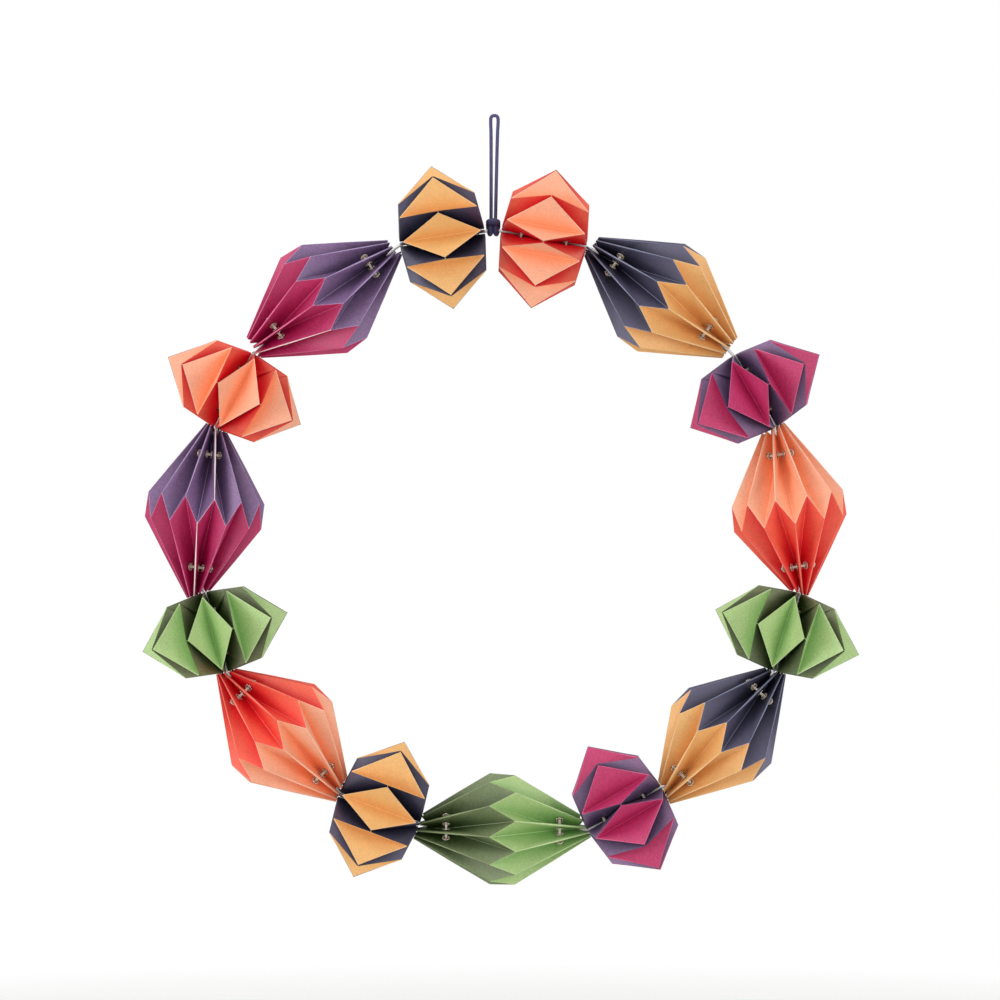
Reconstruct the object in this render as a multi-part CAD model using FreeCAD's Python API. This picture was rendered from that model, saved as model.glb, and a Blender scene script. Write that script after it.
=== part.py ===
"""Hanging wreath of folded paper units threaded on a wire hoop.

Millimetres.  The wreath hangs in the XZ plane and faces -Y, with +Z up.
The origin is the inside top of the hanging cord's loop, where a hook carries it.
Units are numbered clockwise from the knot, as seen from the front.
"""
import FreeCAD
import Part
import os
from collections import namedtuple
from math import cos, degrees, pi, radians, sin, sqrt, tan

V = FreeCAD.Vector

# ---- wire hoop ----
wire_diameter = 1.8
knot_space = 9.5            # clear wire between the first and the last unit, for the knot
knot_angle = -0.9           # degrees clockwise from the hoop's top
knot_rise = 2.9             # how far the cord pulls the wire out of its mean circle

# ---- hanging cord ----
cord_diameter = 1.9
cord_drop = 62.8            # from the loop's inside top down to the wire
knot_side = -0.7            # the knot's X
cord_play = 0.15            # between the cord and what it lies on
bend_share = 0.45           # share of the shorter run beside a bend that its arc takes
knot_height = 6.4           # from the wire up to where the two strands leave the knot
knot_bar_height = 4.4       # the bar across the strands, above the wire
knot_bar_half = 3.2         # half the bar's width, on the cord's centre line
knot_leg_front = 1.15       # X of the legs in front of the wire, from the knot's middle
knot_leg_back = 2.3         # X of the legs behind it
# Centre line of the loop above the knot, from the left strand to the right one.
LOOP_POINTS = (
    V(-1.8, -0.2, -9.5),
    V(-2.1, 0.0, -3.4),
    V(-2.0, 0.0, 0.95),
    V(2.0, 0.0, 0.95),
    V(2.1, 0.0, -3.4),
    V(1.6, -0.2, -9.5),
)

# ---- paper ----
paper_thickness = 0.25
crest_fold_width = 0.5      # flat across a fold at the widest part of a unit
ridge_fold_width = 1.2      # flat across an outer fold at a unit's end
valley_fold_width = 0.25    # flat across an inner fold
end_play = 0.3              # between a pleat's end and the next unit
ridge_middle = 0.5          # where a lantern's outer fold has reached its full flat
ridge_late = 0.74           # where it passes the throat

# ---- lantern: long unit, folds meeting in a zigzag round its middle ----
lantern_pleats = 12
lantern_radius = 32.0
lantern_zigzag_front = 6.6  # zigzag points on the start side of the middle
lantern_zigzag_back = 7.1   # zigzag points on the end side of the middle
lantern_strip_half = 47.5   # outer folds end here if nothing is in the way
lantern_mouth_radius = 6.0  # outer folds' radius at their end, before a unit's draw
lantern_gather_half = 28.9
lantern_gather_radius = 4.2
lantern_throat_half = 36.9  # inner folds close round the wire here
lantern_throat_radius = 2.0
lantern_tuck = 5.0          # inner folds end this far along the wire from the throat
lantern_stretch = 1.06      # an outer fold may be this much longer to reach a bead
lantern_seat_half = 44.0    # half of the room that a lantern takes on the wire
lantern_inset = 4.1         # unit's axis inside the wire, at its middle
lantern_thread_half = 31.4  # drawstring, from the middle

# ---- bead: short unit, folds making ten diamonds round its middle ----
bead_pleats = 10
bead_radius = 41.0
bead_tip_radius = 22.7
bead_tip_half = 21.0
bead_end_rise = 2.4         # outer folds' end beyond the diamond's tip
bead_squeeze = 0.6          # a bead spread wider gets this much shorter
bead_throat_radius = 3.2
bead_throat_half = 4.4      # inner folds end here
bead_inset = 0.9
bead_thread_half = 12.6

# ---- eyelets and drawstrings ----
thread_circle_radius = 8.9  # from the unit's axis
eyelet_bore = 3.2
eyelet_wall = 0.2
eyelet_flange_diameter = 4.6
eyelet_flange_thickness = 0.25
eyelet_play = 0.1
thread_diameter = 0.6
thread_spacing = 0.7        # between the two strands of one drawstring
rim_points = 8              # of a flange, tried against the pleat beside it

# ---- the units as they hang ----
# room: clear wire before the next unit's seat.  rise: out of the mean circle.
# lean: axis against the mean circle, degrees.  girth: wider than its kind.
# turn: about its own axis, degrees.  crowd: how much the pleats bunch, on the
# side that crowd_side gives in degrees from the front.  draw_start, draw_end:
# how much closer a lantern's outer folds are drawn together at that end.
Unit = namedtuple(
    "Unit",
    "kind room rise lean girth turn crowd crowd_side draw_start draw_end",
    defaults=(0.0, 0.0),
)
UNITS = (
    Unit("bead", 7.0, 1.2, 1.6, -1.0, 6.6, 0.10, 4),
    Unit("lantern", 9.3, -2.3, 1.9, 0.2, 24.9, 0.02, 97, -0.5, -0.9),
    Unit("bead", 3.6, -2.6, -0.2, 0.6, 27.8, 0.03, -13),
    Unit("lantern", 1.1, -1.1, -4.0, -0.3, 16.2, 0.07, 20, 0.2, 2.3),
    Unit("bead", 0.2, 2.5, -0.9, 1.2, 28.2, 0.07, 27),
    Unit("lantern", 1.5, 2.6, 1.0, -0.8, 10.7, 0.07, 35, 1.6, 0.8),
    Unit("bead", 2.6, 0.5, -5.5, -0.5, 14.2, 0.14, 50),
    Unit("lantern", 4.1, -0.7, 1.0, -1.1, 16.0, 0.09, 54, 0.9, -0.4),
    Unit("bead", 2.7, -1.2, -3.0, -0.7, 25.6, 0.07, 39),
    Unit("lantern", 2.0, -0.9, -2.0, 0.3, 26.2, 0.03, 44, 0.7, 1.9),
    Unit("bead", 1.7, -0.4, 3.6, 0.9, 18.1, 0.02, -32),
    Unit("lantern", 2.5, 0.4, 1.4, 0.7, 27.8, 0.06, -167, 0.8, 0.9),
    Unit("bead", 5.2, 0.8, -2.0, 0.6, 27.0, 0.04, 23),
    Unit("lantern", 7.4, 0.7, 1.2, 0.3, 5.8, 0.04, 73, -0.7, -0.2),
    Unit("bead", knot_space, 2.6, 1.8, -0.7, 20.5, 0.04, 16),
)

same_point = 1e-6           # points closer than this are one point
inner_tie = 1e-3            # weight that keeps an inner point near its outer one
wire_radius = wire_diameter / 2
cord_radius = cord_diameter / 2
bead_half = bead_tip_half + bead_end_rise
SEAT_HALF = {"bead": bead_half, "lantern": lantern_seat_half}
INSET = {"bead": bead_inset, "lantern": lantern_inset}
PLEATS = {"bead": bead_pleats, "lantern": lantern_pleats}
THREAD_HALF = {"bead": bead_thread_half, "lantern": lantern_thread_half}
wire_run = sum(2 * SEAT_HALF[unit.kind] + unit.room for unit in UNITS)
hoop_radius = wire_run / (2 * pi)


def spoke(angle):
    """Direction outwards at an angle in degrees clockwise from the hoop's top."""
    return V(sin(radians(angle)), 0, cos(radians(angle)))


def heading(angle):
    """Direction of clockwise travel, as the hoop's tangent at this angle."""
    return V(cos(radians(angle)), 0, -sin(radians(angle)))


knot_point = V(knot_side, 0, -cord_drop)
hoop_centre = knot_point - spoke(knot_angle) * (hoop_radius + knot_rise)


class Seat:
    """Where a unit sits: its middle, its axis and its pleats' directions."""

    def __init__(self, unit, angle):
        self.unit = unit
        self.middle = hoop_centre + spoke(angle) * (hoop_radius - INSET[unit.kind] + unit.rise)
        self.bearing = angle + unit.lean
        self.axis = heading(self.bearing)
        self.front = V(0, -1, 0)
        self.inward = self.axis.cross(self.front)

    def azimuth(self, pleat):
        """Direction of a pleat, in radians from the front towards the hoop's centre."""
        even = radians(self.unit.turn + 360 * pleat / PLEATS[self.unit.kind])
        return even + self.unit.crowd * sin(even - radians(self.unit.crowd_side))

    def station(self, side):
        """Point and direction of the wire's clockwise travel near one end."""
        half = lantern_throat_half if self.unit.kind == "lantern" else bead_tip_half
        turn = degrees(half / hoop_radius)
        return self.middle + self.axis * side * half, heading(self.bearing + side * turn)

    def out(self, azimuth):
        return self.front * cos(azimuth) + self.inward * sin(azimuth)

    def point(self, radius, azimuth, along):
        return self.middle + self.out(azimuth) * radius + self.axis * along


def seats():
    """Seats of all units, laid end to end along the wire from the knot."""
    placed = []
    travelled = knot_space / 2
    for unit in UNITS:
        travelled += SEAT_HALF[unit.kind]
        placed.append(Seat(unit, knot_angle + degrees(travelled / hoop_radius)))
        travelled += SEAT_HALF[unit.kind] + unit.room
    return placed


# ---- folded paper ----

def end_half(bead):
    """Half length of a bead, shorter where it is spread wider."""
    return bead_half - bead_squeeze * bead.girth


def stop_beyond(bead_seat, side):
    """Plane in front of a bead's end that the lantern beside it may reach.

    side is -1 where the bead comes before the lantern and 1 where it follows.
    """
    normal = bead_seat.axis * -side
    return bead_seat.middle + normal * (end_half(bead_seat.unit) + end_play), normal


def arcs_meet(start, start_way, end, end_way):
    """Where the wire's two arcs between two stations meet."""
    gap = end - start
    spread = 2 * (1 - start_way.dot(end_way))
    pull = gap.dot(start_way + end_way)
    if spread < same_point:
        reach = gap.dot(gap) / (2 * pull)
    else:
        reach = (sqrt(pull * pull + spread * gap.dot(gap)) - pull) / spread
    return (start + start_way * reach + end - end_way * reach) / 2


def beyond_throat(seat, bead_seat, side):
    """Point of the wire where a lantern's inner folds end, towards the bead beside it."""
    throat, way = seat.station(side)
    way = way * side
    bead_end, bead_way = bead_seat.station(-side)
    to_meet = arcs_meet(throat, way, bead_end, bead_way * side) - throat
    bow = to_meet - way * to_meet.dot(way)
    share = lantern_tuck / to_meet.Length
    return throat + way * lantern_tuck + bow * (share * share)


def along_line(start, end, share):
    return start + (end - start) * share


def fold_pair(point, azimuth, width, seat):
    """The two edges of the flat across a fold at one point."""
    across = seat.out(azimuth + pi / 2) * (width / 2)
    return [point - across, point + across]


def clear_share(start, end, stop_point, stop_normal, stretch=1.0):
    """Share of the line from start to end that stays on the stop's near side.

    A line that falls just short of the stop reaches it, if stretch allows.
    """
    near = (start - stop_point).dot(stop_normal)
    far = (end - stop_point).dot(stop_normal)
    share = near / (near - far)
    return share if 0 < share < stretch else 1.0


def lantern_rings(seat, stops, tucks):
    """Rings of outer points from the lantern's start to its end."""
    radius = lantern_radius + seat.unit.girth
    draws = {-1: seat.unit.draw_start, 1: seat.unit.draw_end}
    halves = []
    for side in (-1, 1):
        mouth_radius = lantern_mouth_radius - draws[side]
        rings = [[], [], [], []]
        for column in range(2 * lantern_pleats):
            azimuth = seat.azimuth(column / 2)
            on_start_side = column % 2 == 0
            crest_along = -lantern_zigzag_front if on_start_side else lantern_zigzag_back
            crest = seat.point(radius, azimuth, crest_along)
            if on_start_side == (side < 0):
                mouth = seat.point(mouth_radius, azimuth, side * lantern_strip_half)
                share = clear_share(crest, mouth, *stops[side], lantern_stretch)
                mouth = along_line(crest, mouth, share)
                middle = along_line(crest, mouth, ridge_middle)
                late = along_line(crest, mouth, ridge_late)
                widths = (crest_fold_width, ridge_fold_width, ridge_fold_width, ridge_fold_width)
                points = (crest, middle, late, mouth)
            else:
                gather = seat.point(lantern_gather_radius, azimuth, side * lantern_gather_half)
                throat = seat.point(lantern_throat_radius, azimuth, side * lantern_throat_half)
                tuck = tucks[side] + seat.out(azimuth) * lantern_throat_radius
                widths = (crest_fold_width, valley_fold_width, valley_fold_width, valley_fold_width)
                points = (crest, gather, throat, tuck)
            for ring, point, width in zip(rings, points, widths):
                ring += fold_pair(point, azimuth, width, seat)
        halves.append(rings)
    start, end = halves
    return start[::-1] + end[1:]


def bead_rings(seat):
    """Rings of outer points from the bead's start to its end."""
    girth = seat.unit.girth
    tip_half = end_half(seat.unit) - bead_end_rise
    halves = []
    for side in (-1, 1):
        crests, throats = [], []
        for column in range(2 * bead_pleats):
            azimuth = seat.azimuth(column / 2)
            if column % 2 == 0:
                crest = seat.point(bead_radius + girth, azimuth, 0)
                throat = seat.point(bead_throat_radius, azimuth, side * bead_throat_half)
                width = valley_fold_width
            else:
                crest = seat.point(bead_tip_radius, azimuth, side * tip_half)
                throat = seat.point(bead_throat_radius, azimuth, side * end_half(seat.unit))
                width = ridge_fold_width
            crests += fold_pair(crest, azimuth, crest_fold_width, seat)
            throats += fold_pair(throat, azimuth, width, seat)
        halves.append([crests, throats])
    start, end = halves
    return start[::-1] + end


def normal_of(a, b, c):
    normal = (b - a).cross(c - a)
    return normal / normal.Length


def inner_point(point, normals):
    """The point one paper thickness inside all the faces that meet here."""
    matrix = FreeCAD.Matrix()
    grid = [[inner_tie if row == column else 0.0 for column in range(3)] for row in range(3)]
    side = V(0, 0, 0)
    for normal in normals:
        parts = (normal.x, normal.y, normal.z)
        for row in range(3):
            for column in range(3):
                grid[row][column] += parts[row] * parts[column]
        side += normal
    matrix.A11, matrix.A12, matrix.A13 = grid[0]
    matrix.A21, matrix.A22, matrix.A23 = grid[1]
    matrix.A31, matrix.A32, matrix.A33 = grid[2]
    return point - matrix.inverse().multVec(side) * paper_thickness


def quad_triangles(corners, count, row, column):
    """The two triangles between two rings at one column, split at the shorter diagonal."""
    a = row * count + column
    b = row * count + (column + 1) % count
    rising = (corners[b + count] - corners[a]).Length
    falling = (corners[a + count] - corners[b]).Length
    if rising < falling:
        return [(a, b, b + count), (a, b + count, a + count)]
    return [(a, b, a + count), (b, b + count, a + count)]


def outer_triangles(corners, count):
    """Triangles of the outer side, without those that shrink to a line."""
    twin_of = {}
    for number, point in enumerate(corners):
        twin = number - count
        same = twin >= 0 and (corners[twin] - point).Length < same_point
        twin_of[number] = twin if same else number
    triangles = []
    for row in range(len(corners) // count - 1):
        for column in range(count):
            for triangle in quad_triangles(corners, count, row, column):
                triangle = tuple(twin_of[number] for number in triangle)
                if len(set(triangle)) == 3:
                    triangles.append(triangle)
    return triangles


def folded_paper(rings):
    """Closed solid of paper whose outer side passes through the rings."""
    count = len(rings[0])
    points = [point for ring in rings for point in ring]
    outside = outer_triangles(points, count)
    normals = {}
    for triangle in outside:
        for number in triangle:
            normals.setdefault(number, []).append(normal_of(*[points[n] for n in triangle]))
    inside_of = {}
    for number in normals:
        inside_of[number] = len(points)
        points.append(inner_point(points[number], normals[number]))
    triangles = list(outside)
    triangles += [tuple(inside_of[number] for number in reversed(t)) for t in outside]
    last = (len(rings) - 1) * count
    for column in range(count):
        following = (column + 1) % count
        for a, b in ((following, column), (last + column, last + following)):
            triangles += [(a, b, inside_of[b]), (a, inside_of[b], inside_of[a])]
    used = sorted({number for triangle in triangles for number in triangle})
    place = {number: index for index, number in enumerate(used)}
    facets = [tuple(place[number] for number in triangle) for triangle in triangles]
    shape = Part.Shape()
    shape.makeShapeFromMesh(([points[number] for number in used], facets), same_point)
    solid = Part.Solid(shape.Shells[0])
    if solid.Volume < 0:
        solid.reverse()
    return solid


# ---- eyelets and drawstrings ----

def distance_to(triangle, start, direction):
    """Distance from start along direction to a triangle, or 0 if it is missed."""
    a, b, c = triangle
    edge, other = b - a, c - a
    across = direction.cross(other)
    volume = edge.dot(across)
    if abs(volume) < same_point:
        return 0.0
    offset = start - a
    turned = offset.cross(edge)
    first = offset.dot(across) / volume
    second = direction.dot(turned) / volume
    if first < 0 or second < 0 or first + second > 1:
        return 0.0
    return other.dot(turned) / volume


def flange_reach(centre, axis, along, flank):
    """Distance from an eyelet's middle at which its flange clears the pleat's side."""
    up = axis.cross(along)
    reach = 0.0
    for step in range(rim_points):
        turn = 2 * pi * step / rim_points
        rim = (along * cos(turn) + up * sin(turn)) * (eyelet_flange_diameter / 2)
        for triangle in flank:
            reach = max(reach, distance_to(triangle, centre + rim, axis))
    return reach + eyelet_play


def eyelet(centre, axis, before, after):
    """Turned eyelet: a barrel with a flange at each end."""
    bore = eyelet_bore / 2
    barrel = bore + eyelet_wall
    flange = eyelet_flange_diameter / 2
    outline = [
        V(bore, 0, -before - eyelet_flange_thickness),
        V(flange, 0, -before - eyelet_flange_thickness),
        V(flange, 0, -before),
        V(barrel, 0, -before),
        V(barrel, 0, after),
        V(flange, 0, after),
        V(flange, 0, after + eyelet_flange_thickness),
        V(bore, 0, after + eyelet_flange_thickness),
    ]
    face = Part.Face(Part.makePolygon(outline + outline[:1]))
    ring = face.revolve(V(0, 0, 0), V(0, 0, 1), 360)
    ring.Placement = FreeCAD.Placement(centre, FreeCAD.Rotation(V(0, 0, 1), axis))
    return ring


def flank_triangles(rings, rows, column):
    """Triangles of one side of a pleat, over the given rows."""
    count = len(rings[0])
    corners = [point for ring in rings for point in ring]
    found = []
    for row in rows:
        for triangle in quad_triangles(corners, count, row, column % count):
            found.append([corners[number] for number in triangle])
    return found


def ridge_shift(kind, side):
    """How far the outer folds at one end lie from the pleats' own directions, in pleats."""
    return 0.5 if kind == "bead" or side > 0 else 0


def eyelets_and_holes(seat, rings):
    """Eyelets of one unit, and the holes that they need in its pleats."""
    kind = seat.unit.kind
    hole_radius = eyelet_bore / 2 + eyelet_wall + eyelet_play
    half_rows = (len(rings) - 1) // 2
    eyelets, holes = [], []
    for side in (-1, 1):
        rows = range(half_rows) if side < 0 else range(len(rings) - 1 - half_rows, len(rings) - 1)
        for pleat in range(PLEATS[kind]):
            column = int(2 * (pleat + ridge_shift(kind, side)))
            azimuth = seat.azimuth(column / 2)
            centre = seat.point(thread_circle_radius, azimuth, side * THREAD_HALF[kind])
            axis = seat.out(azimuth + pi / 2)
            following = flank_triangles(rings, rows, 2 * column + 1)
            preceding = flank_triangles(rings, rows, 2 * column - 1)
            after = flange_reach(centre, axis, seat.axis, following)
            before = flange_reach(centre, axis * -1, seat.axis, preceding)
            eyelets.append(eyelet(centre, axis, before, after))
            start = centre - axis * before
            holes.append(Part.makeCylinder(hole_radius, before + after, start, axis))
    return eyelets, holes


def drawstrings(seat):
    """Doubled drawstring at each end of a unit, straight from eyelet to eyelet."""
    kind = seat.unit.kind
    strands = []
    for side in (-1, 1):
        shift = ridge_shift(kind, side)
        azimuths = [seat.azimuth(pleat + shift) for pleat in range(PLEATS[kind])]
        for offset in (-thread_spacing / 2, thread_spacing / 2):
            along = side * THREAD_HALF[kind] + offset
            corners = [seat.point(thread_circle_radius, azimuth, along) for azimuth in azimuths]
            start = (corners[-1] + corners[0]) / 2
            loop = Part.makePolygon([start] + corners + [start])
            profile = Part.Wire(Part.Circle(start, corners[0] - start, thread_diameter / 2).toShape())
            strands.append(loop.makePipeShell([profile], True, False, 1))
    return strands


# ---- wire hoop ----

def arc_between(start, direction, end):
    """Arc that leaves start in a direction and ends at end."""
    chord = end - start
    turn = direction.getAngle(chord)
    if turn < same_point:
        return Part.LineSegment(start, end).toShape()
    outward = direction - chord * (direction.dot(chord) / chord.dot(chord))
    outward.normalize()
    top = (start + end) / 2 + outward * (chord.Length / 2 * tan(turn / 2))
    return Part.Arc(start, top, end).toShape()


def two_arcs(start, start_way, end, end_way):
    """Two arcs of equal reach that join two points smoothly."""
    join = arcs_meet(start, start_way, end, end_way)
    back = arc_between(end, end_way * -1, join)
    return [arc_between(start, start_way, join), back]


def wire_stations(placed):
    """Points and directions that the wire passes, from the knot clockwise."""
    stations = [(knot_point, heading(knot_angle))]
    for seat in placed:
        stations += [seat.station(-1), seat.station(1)]
    return stations


def wire_path(placed):
    """Edges of the closed wire."""
    stations = wire_stations(placed)
    edges = []
    for here, there in zip(stations, stations[1:] + stations[:1]):
        edges += two_arcs(*here, *there)
    return edges


# ---- hanging cord ----

def even_bend(before, point, after):
    """Bend radius that uses bend_share of the shorter run beside a point."""
    turn = (point - before).getAngle(after - point)
    shorter = min((point - before).Length, (after - point).Length)
    return bend_share * shorter / tan(turn / 2)


def bent_path(points, bend=None):
    """Straight runs joined by tangent arcs, and the arcs' radii."""
    edges, radii = [], []
    here = points[0]
    for before, point, after in zip(points, points[1:], points[2:]):
        way_in = (point - before).normalize()
        way_out = (after - point).normalize()
        half_turn = way_in.getAngle(way_out) / 2
        radius = bend or even_bend(before, point, after)
        start = point - way_in * radius * tan(half_turn)
        end = point + way_out * radius * tan(half_turn)
        edges.append(Part.LineSegment(here, start).toShape())
        edges.append(arc_between(start, way_in, end))
        radii.append(radius)
        here = end
    edges.append(Part.LineSegment(here, points[-1]).toShape())
    return edges, radii


def knot_points():
    """Centre line of the lark's head from the left strand's foot to the right one's."""
    wrap = wire_radius + cord_radius + cord_play
    front = -wrap - cord_play
    bar_front = front - cord_diameter
    left = [
        V(-knot_leg_front, front, -wrap),
        V(-knot_leg_back, wrap, -wrap),
        V(-knot_bar_half, wrap, knot_bar_height),
        V(-knot_bar_half, bar_front, knot_bar_height),
    ]
    right = [V(-point.x, point.y, point.z) for point in reversed(left)]
    return [knot_point + point for point in left + right]


def at_height(low, high, height):
    """Point of a line at a given Z."""
    return along_line(low, high, (height - low.z) / (high.z - low.z))


def tube(edges, radius):
    """Round bar along a smooth path."""
    path = Part.Wire(Part.__sortEdges__(edges))
    first = path.OrderedEdges[0]
    start = first.valueAt(first.FirstParameter)
    way = first.tangentAt(first.FirstParameter)
    profile = Part.Wire(Part.Circle(start, way, radius).toShape())
    return path.makePipeShell([profile], True, False)


def cord_pieces():
    """The knot and the loop above it, meeting face to face."""
    knot = knot_points()
    top = knot_point.z + knot_height
    left_exit = at_height(knot[0], LOOP_POINTS[0], top)
    right_exit = at_height(knot[-1], LOOP_POINTS[-1], top)
    wrap = wire_radius + cord_radius
    knot_edges, _ = bent_path([left_exit] + knot + [right_exit], wrap)
    loop_edges, radii = bent_path([left_exit] + list(LOOP_POINTS) + [right_exit])
    length = sum(edge.Length for edge in loop_edges)
    print("loop radii", [round(radius, 2) for radius in radii], "length", round(length, 1))
    return tube(knot_edges, cord_radius), tube(loop_edges, cord_radius)


# ---- the whole wreath ----

def units(placed):
    """Paper, eyelets and drawstrings of every unit, by node name."""
    for number, seat in enumerate(placed):
        label = "%02d" % (number + 1)
        if seat.unit.kind == "bead":
            rings = bead_rings(seat)
        else:
            following = placed[(number + 1) % len(placed)]
            beads = {-1: placed[number - 1], 1: following}
            stops = {side: stop_beyond(bead, side) for side, bead in beads.items()}
            tucks = {side: beyond_throat(seat, bead, side) for side, bead in beads.items()}
            rings = lantern_rings(seat, stops, tucks)
        eyelets, holes = eyelets_and_holes(seat, rings)
        paper = folded_paper(rings).cut(Part.makeCompound(holes))
        yield seat.unit.kind + "_" + label, paper
        yield "eyelets_" + label, Part.makeCompound(eyelets)
        yield "drawstrings_" + label, Part.makeCompound(drawstrings(seat))


def wreath():
    """Every node of the wreath, by name."""
    placed = seats()
    nodes = dict(units(placed))
    nodes["hoop"] = tube(wire_path(placed), wire_radius)
    nodes["cord_knot"], nodes["hanging_cord"] = cord_pieces()
    return nodes


os.makedirs("parts", exist_ok=True)
for name, shape in wreath().items():
    shape.exportStep("parts/" + name + ".step")
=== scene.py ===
"""Looks of the paper wreath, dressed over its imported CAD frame.

The wreath's lengths are in millimetres, as in the part's source, and its pieces are scaled to
metres.  The camera, the lamps, the floor and the materials' patterns are in metres.
Units are numbered clockwise from the knot, as seen from the front.
"""
from collections import namedtuple
from math import cos, degrees, pi, radians, sin, tau

import bpy
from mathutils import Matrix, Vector
from mathutils.geometry import tessellate_polygon


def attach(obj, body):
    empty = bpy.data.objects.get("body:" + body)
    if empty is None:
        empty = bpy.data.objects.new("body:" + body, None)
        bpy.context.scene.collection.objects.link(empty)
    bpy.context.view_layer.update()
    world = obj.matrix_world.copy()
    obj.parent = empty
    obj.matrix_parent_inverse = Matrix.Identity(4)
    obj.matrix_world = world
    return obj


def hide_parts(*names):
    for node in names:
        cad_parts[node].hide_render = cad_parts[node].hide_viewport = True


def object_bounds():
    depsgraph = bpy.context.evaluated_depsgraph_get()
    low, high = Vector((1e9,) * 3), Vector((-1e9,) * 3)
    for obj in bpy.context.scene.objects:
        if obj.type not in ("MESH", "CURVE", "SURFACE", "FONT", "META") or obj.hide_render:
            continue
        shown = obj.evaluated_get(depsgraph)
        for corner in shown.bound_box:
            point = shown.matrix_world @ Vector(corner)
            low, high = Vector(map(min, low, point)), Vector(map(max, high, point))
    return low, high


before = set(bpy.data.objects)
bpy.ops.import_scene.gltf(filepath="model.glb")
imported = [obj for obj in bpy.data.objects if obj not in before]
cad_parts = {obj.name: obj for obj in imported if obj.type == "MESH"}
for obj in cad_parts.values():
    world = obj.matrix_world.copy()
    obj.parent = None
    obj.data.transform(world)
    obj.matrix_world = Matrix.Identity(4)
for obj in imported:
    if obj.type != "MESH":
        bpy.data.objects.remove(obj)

cad_low, cad_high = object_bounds()
V = Vector
METRES = 0.001              # in a millimetre

# ---- sizes shared with the part's source ----
knot_space = 9.5            # clear wire between the first and the last unit
knot_angle = -0.9           # degrees clockwise from the hoop's top
knot_rise = 2.9             # how far the cord pulls the wire out of its mean circle
cord_diameter = 1.9
cord_drop = 62.8            # from the loop's inside top down to the wire
knot_side = -0.7            # the knot's X

lantern_pleats = 12
lantern_radius = 32.0
lantern_zigzag_front = 6.6  # zigzag points on the start side of the middle
lantern_zigzag_back = 7.1   # zigzag points on the end side of the middle
lantern_strip_half = 47.5   # outer folds end here if nothing is in the way
lantern_mouth_radius = 6.0  # outer folds' radius at their end, before a unit's draw
lantern_gather_half = 28.9
lantern_gather_radius = 4.2
lantern_throat_half = 36.9  # inner folds close round the wire here
lantern_throat_radius = 2.0
lantern_tuck = 5.0          # inner folds end this far along the wire from the throat
lantern_stretch = 1.06      # an outer fold may be this much longer to reach a bead
lantern_seat_half = 44.0    # half of the room that a lantern takes on the wire
lantern_inset = 4.1         # unit's axis inside the wire, at its middle
lantern_thread_half = 31.4  # drawstring, from the middle

bead_pleats = 10
bead_radius = 41.0
bead_tip_radius = 22.7
bead_tip_half = 21.0
bead_end_rise = 2.4         # outer folds' end beyond the diamond's tip
bead_squeeze = 0.6          # a bead spread wider gets this much shorter
bead_throat_radius = 3.2
bead_throat_half = 4.4      # inner folds end here
bead_inset = 0.9
bead_thread_half = 12.6

paper_thickness = 0.25
end_play = 0.3              # between a pleat's end and the next unit
ridge_middle = 0.5          # where a lantern's outer fold has reached its full width
ridge_late = 0.74           # where it passes the throat
thread_circle_radius = 8.9  # from the unit's axis
eyelet_bore = 3.2
eyelet_wall = 0.2
eyelet_flange_diameter = 4.6
eyelet_flange_thickness = 0.25
eyelet_play = 0.1

# room: clear wire before the next unit's seat.  rise: out of the mean circle.
# lean: axis against the mean circle, degrees.  girth: wider than its kind.
# turn: about its own axis, degrees.  crowd: how much the pleats bunch, on the
# side that crowd_side gives in degrees from the front.  draw_start, draw_end:
# how much closer a lantern's outer folds are drawn together at that end.
# These are as in the part's source.  face, which the source hasn't, is the
# paper of a bead's diamonds or a lantern's start, and side is that of a
# bead's sides or a lantern's end.
Unit = namedtuple(
    "Unit",
    "kind room rise lean girth turn crowd crowd_side face side draw_start draw_end",
    defaults=(0.0, 0.0),
)
UNITS = (
    Unit("bead", 7.0, 1.2, 1.6, -1.0, 6.6, 0.10, 4, "coral", "red"),
    Unit("lantern", 9.3, -2.3, 1.9, 0.2, 24.9, 0.02, 97, "navy", "gold", -0.5, -0.9),
    Unit("bead", 3.6, -2.6, -0.2, 0.6, 27.8, 0.03, -13, "magenta", "purple"),
    Unit("lantern", 1.1, -1.1, -4.0, -0.3, 16.2, 0.07, 20, "coral", "red", 0.2, 2.3),
    Unit("bead", 0.2, 2.5, -0.9, 1.2, 28.2, 0.07, 27, "light_green", "dark_green"),
    Unit("lantern", 1.5, 2.6, 1.0, -0.8, 10.7, 0.07, 35, "navy", "gold", 1.6, 0.8),
    Unit("bead", 2.6, 0.5, -5.5, -0.5, 14.2, 0.14, 50, "magenta", "purple"),
    Unit("lantern", 4.1, -0.7, 1.0, -1.1, 16.0, 0.09, 54, "light_green", "dark_green", 0.9, -0.4),
    Unit("bead", 2.7, -1.2, -3.0, -0.7, 25.6, 0.07, 39, "gold", "navy"),
    Unit("lantern", 2.0, -0.9, -2.0, 0.3, 26.2, 0.03, 44, "coral", "red", 0.7, 1.9),
    Unit("bead", 1.7, -0.4, 3.6, 0.9, 18.1, 0.02, -32, "light_green", "dark_green"),
    Unit("lantern", 2.5, 0.4, 1.4, 0.7, 27.8, 0.06, -167, "magenta", "purple", 0.8, 0.9),
    Unit("bead", 5.2, 0.8, -2.0, 0.6, 27.0, 0.04, 23, "coral", "red"),
    Unit("lantern", 7.4, 0.7, 1.2, 0.3, 5.8, 0.04, 73, "magenta", "purple", -0.7, -0.2),
    Unit("bead", knot_space, 2.6, 1.8, -0.7, 20.5, 0.04, 16, "gold", "navy"),
)

# ---- sizes of the looks ----
line_width = 0.4            # pale line on each side of an edge, partly wear and partly painted highlight
edge_width = 0.25           # the same beyond a diamond's edge
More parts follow.
